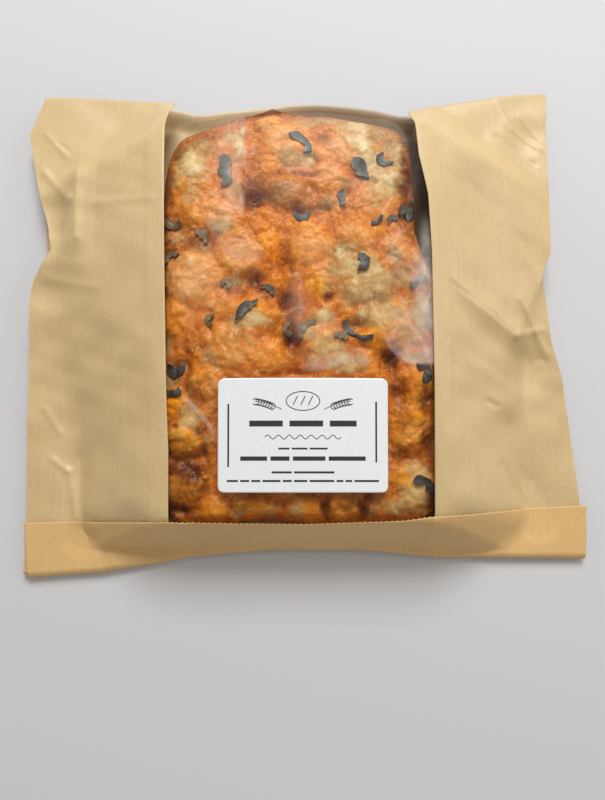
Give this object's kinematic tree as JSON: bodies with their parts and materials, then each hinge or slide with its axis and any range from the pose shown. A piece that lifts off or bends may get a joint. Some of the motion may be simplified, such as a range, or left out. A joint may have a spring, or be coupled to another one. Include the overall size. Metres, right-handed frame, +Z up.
{
  "type": "packed focaccia",
  "caption": "Rectangular focaccia topped with melted cheese and jalapeno slices, shut in a kraft paper bag with a clear film window, a printed label and a folded mouth.",
  "frame": {"origin": "on the surface that the pack lies on, under the middle of its outline", "axes": "+Z up through the window, +Y towards the glued end of the bag, -Y towards its folded mouth, +X to the right when the label is read"},
  "size_m": [0.2802, 0.2494, 0.037],
  "materials": {
    "kraft_paper": "matte kraft paper",
    "clear_film": "clear gloss film",
    "label_paper": "semi-matte white paper",
    "crust": "baked dough and melted cheese, slightly oily",
    "jalapeno": "roasted, slightly oily"
  },
  "bodies": {
    "root": {"paper_bag": "kraft_paper", "window_film": "clear_film", "label": "label_paper", "focaccia": "crust", "jalapeno_01": "jalapeno", "jalapeno_02": "jalapeno", "jalapeno_03": "jalapeno", "jalapeno_04": "jalapeno", "jalapeno_05": "jalapeno", "jalapeno_06": "jalapeno", "jalapeno_07": "jalapeno", "jalapeno_08": "jalapeno", "jalapeno_09": "jalapeno", "jalapeno_10": "jalapeno", "jalapeno_11": "jalapeno", "jalapeno_12": "jalapeno", "jalapeno_13": "jalapeno", "jalapeno_14": "jalapeno", "jalapeno_15": "jalapeno", "jalapeno_16": "jalapeno", "jalapeno_17": "jalapeno", "jalapeno_18": "jalapeno", "jalapeno_19": "jalapeno", "jalapeno_20": "jalapeno", "jalapeno_21": "jalapeno", "jalapeno_22": "jalapeno", "jalapeno_23": "jalapeno", "jalapeno_24": "jalapeno", "jalapeno_25": "jalapeno", "jalapeno_26": "jalapeno"}
  },
  "joints": []
}
